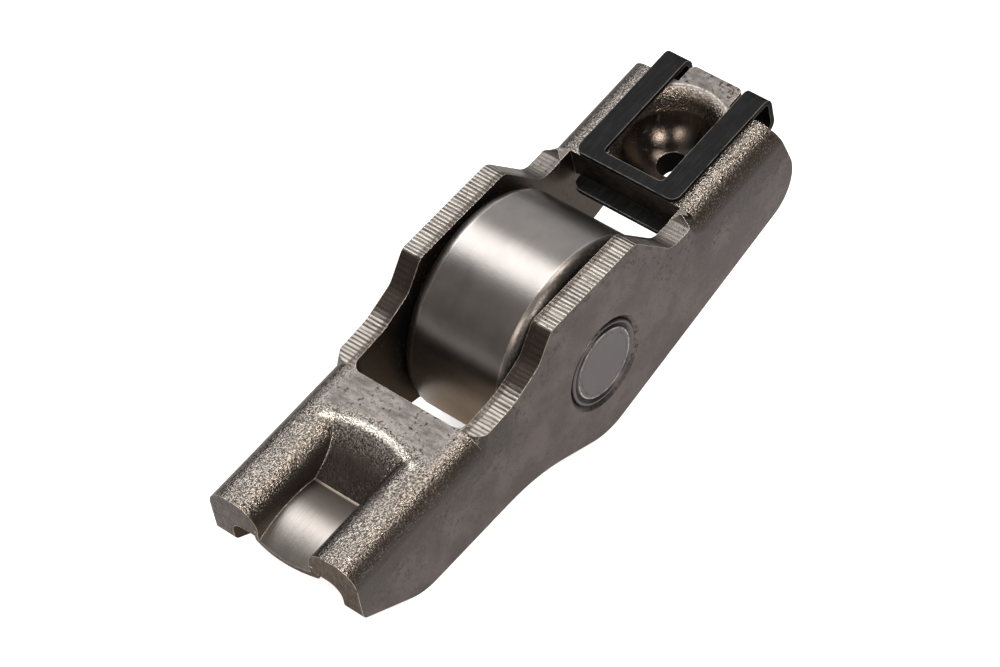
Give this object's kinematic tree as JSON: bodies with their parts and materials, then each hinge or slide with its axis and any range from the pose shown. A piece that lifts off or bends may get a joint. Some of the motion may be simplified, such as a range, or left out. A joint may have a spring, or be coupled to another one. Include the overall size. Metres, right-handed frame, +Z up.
{
  "type": "rocker arm",
  "caption": "Stamped-steel roller rocker arm with a valve pad, a cam roller on needles and a drawn ball socket that is held on its adjuster by a spring clip.",
  "frame": {"origin": "middle of the box round the part, on the plane that it lies on", "axes": "+X along the arm from the valve pad to the ball socket, +Y along the roller's axle, +Z up from the plane that it lies on"},
  "size_m": [0.0534, 0.015, 0.0217],
  "materials": {
    "stamped_steel": "tumbled and hardened, dull grey brown with burnished folds",
    "axle_steel": "turned, fine and even",
    "ground_steel": "ground and superfinished, satin",
    "black_spring_steel": "black oxide, matt",
    "needle_steel": "ground, bright"
  },
  "bodies": {
    "arm": {"arm_body": "stamped_steel", "axle_pin": "axle_steel", "ball_clip": "black_spring_steel"},
    "roller": {"roller_ring": "ground_steel"},
    "needles": {"needle_01": "needle_steel", "needle_02": "needle_steel", "needle_03": "needle_steel", "needle_04": "needle_steel", "needle_05": "needle_steel", "needle_06": "needle_steel", "needle_07": "needle_steel", "needle_08": "needle_steel", "needle_09": "needle_steel", "needle_10": "needle_steel", "needle_11": "needle_steel", "needle_12": "needle_steel", "needle_13": "needle_steel", "needle_14": "needle_steel", "needle_15": "needle_steel"}
  },
  "joints": [
    {"name": "roller_spin", "type": "hinge", "parent": "arm", "child": "roller", "pos_m": [0.00278, 0, 0.0096], "axis": [0, 1, 0], "continuous": true},
    {"name": "needle_orbit", "type": "hinge", "parent": "arm", "child": "needles", "pos_m": [0.00278, 0, 0.0096], "axis": [0, 1, 0], "continuous": true}
  ],
  "couplings": [
    {"joint": "needle_orbit", "follows": "roller_spin", "ratio": 0.605}
  ]
}
